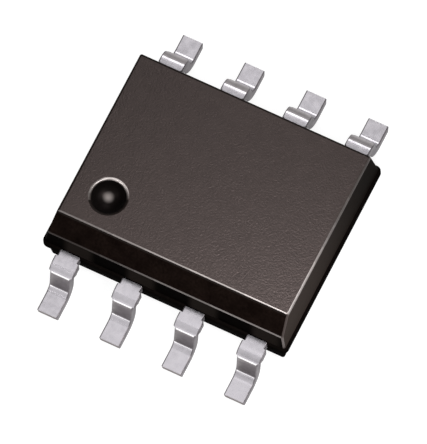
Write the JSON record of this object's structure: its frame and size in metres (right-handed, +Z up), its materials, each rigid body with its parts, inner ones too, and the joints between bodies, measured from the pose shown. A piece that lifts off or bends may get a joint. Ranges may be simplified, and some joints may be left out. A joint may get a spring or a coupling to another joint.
{
  "type": "small-outline integrated circuit package",
  "caption": "Black moulded small-outline chip package with a bevelled long side, a pin-one dimple and tin-plated gull-wing leads along both long sides, for surface soldering.",
  "frame": {"origin": "under the middle of the body, in the plane that the soles stand on", "axes": "+X along the body from lead 1 to lead 4, +Y from the row of leads 1-4 to the row of leads 5-8, +Z up out of the board. The dimple is at -X, -Y, and the bevel runs along the -Y side"},
  "size_m": [0.005, 0.006, 0.0016],
  "materials": {
    "mould_compound": "black-brown filled epoxy, fine spark-eroded grain on top, smoother flanks, polished dimple",
    "tin_plated_lead": "matte tin plate over a stamped copper alloy strip",
    "copper_pad": "bare stamped copper alloy",
    "silver_adhesive": "cured silver-filled epoxy",
    "silicon": "polished silicon, dark grey",
    "gold_wire": "drawn gold wire"
  },
  "bodies": {
    "root": {"body": "mould_compound", "lead_1": "tin_plated_lead", "lead_2": "tin_plated_lead", "lead_3": "tin_plated_lead", "lead_4": "tin_plated_lead", "lead_5": "tin_plated_lead", "lead_6": "tin_plated_lead", "lead_7": "tin_plated_lead", "lead_8": "tin_plated_lead", "die_pad": "copper_pad", "die_attach": "silver_adhesive", "die": "silicon", "bond_wire_1": "gold_wire", "bond_wire_2": "gold_wire", "bond_wire_3": "gold_wire", "bond_wire_4": "gold_wire", "bond_wire_5": "gold_wire", "bond_wire_6": "gold_wire", "bond_wire_7": "gold_wire", "bond_wire_8": "gold_wire"}
  },
  "joints": []
}
